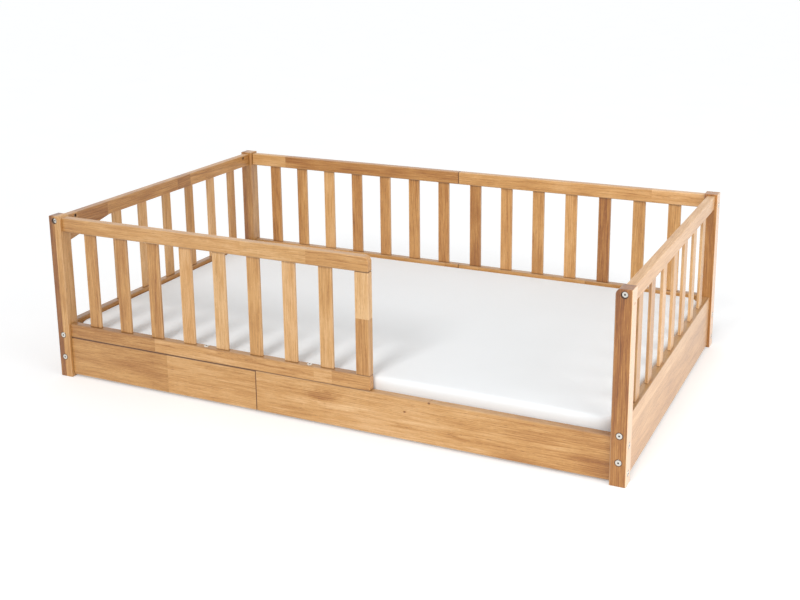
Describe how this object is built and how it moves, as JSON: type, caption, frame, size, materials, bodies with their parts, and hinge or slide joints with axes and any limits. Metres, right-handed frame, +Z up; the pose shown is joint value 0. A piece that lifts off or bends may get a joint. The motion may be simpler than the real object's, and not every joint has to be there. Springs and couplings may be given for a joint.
{
  "type": "toddler floor bed",
  "caption": "Low solid-wood floor bed with square corner posts, slatted sides, a part-length guard fence at the entrance side, and a mattress on a slatted base.",
  "frame": {"origin": "on the floor under the middle of the bed", "axes": "+X to the right end seen from the entrance side, +Y from the entrance side to the back, +Z up"},
  "size_m": [2.078, 1.278, 0.597],
  "materials": {
    "oak_posts": "oiled oak, satin",
    "oak_rails": "oiled oak, satin",
    "oak_boards": "oiled oak, satin",
    "oak_slats": "oiled oak, satin",
    "oak_base": "planed oak, matt",
    "beech_dowels": "plain beech",
    "nickel_bolts": "nickel-plated, bright",
    "zinc_steel": "zinc-plated",
    "mattress_cover": "fine white cotton jersey over foam"
  },
  "bodies": {
    "bed_frame": {"back_left_board": "oak_boards", "back_left_slat_1": "oak_slats", "back_left_slat_2": "oak_slats", "back_left_slat_3": "oak_slats", "back_left_slat_4": "oak_slats", "back_left_slat_5": "oak_slats", "back_left_slat_6": "oak_slats", "back_left_slat_7": "oak_slats", "back_left_top_rail": "oak_rails", "back_right_board": "oak_boards", "back_right_slat_1": "oak_slats", "back_right_slat_2": "oak_slats", "back_right_slat_3": "oak_slats", "back_right_slat_4": "oak_slats", "back_right_slat_5": "oak_slats", "back_right_slat_6": "oak_slats", "back_right_slat_7": "oak_slats", "back_right_top_rail": "oak_rails", "barrel_nuts": "zinc_steel", "base_slats": "oak_base", "bearers": "oak_base", "connector_bolts": "nickel_bolts", "dowels": "beech_dowels", "fence_bottom_rail": "oak_rails", "fence_end_stile": "oak_rails", "fence_slat_1": "oak_slats", "fence_slat_2": "oak_slats", "fence_slat_3": "oak_slats", "fence_slat_4": "oak_slats", "fence_slat_5": "oak_slats", "fence_slat_6": "oak_slats", "fence_slat_7": "oak_slats", "fence_slat_8": "oak_slats", "fence_top_rail": "oak_rails", "front_board_long": "oak_boards", "front_board_short": "oak_boards", "left_end_board": "oak_boards", "left_end_slat_1": "oak_slats", "left_end_slat_2": "oak_slats", "left_end_slat_3": "oak_slats", "left_end_slat_4": "oak_slats", "left_end_slat_5": "oak_slats", "left_end_slat_6": "oak_slats", "left_end_slat_7": "oak_slats", "left_end_top_rail": "oak_rails", "post_back_left": "oak_posts", "post_back_right": "oak_posts", "post_front_left": "oak_posts", "post_front_right": "oak_posts", "right_end_board": "oak_boards", "right_end_slat_1": "oak_slats", "right_end_slat_2": "oak_slats", "right_end_slat_3": "oak_slats", "right_end_slat_4": "oak_slats", "right_end_slat_5": "oak_slats", "right_end_slat_6": "oak_slats", "right_end_slat_7": "oak_slats", "right_end_top_rail": "oak_rails", "wood_screws": "zinc_steel"},
    "mattress": {"mattress": "mattress_cover"}
  },
  "joints": [
    {"name": "mattress_lift", "type": "slide", "parent": "bed_frame", "child": "mattress", "axis": [0, 0, 1], "range_m": [0, 0.55]}
  ]
}
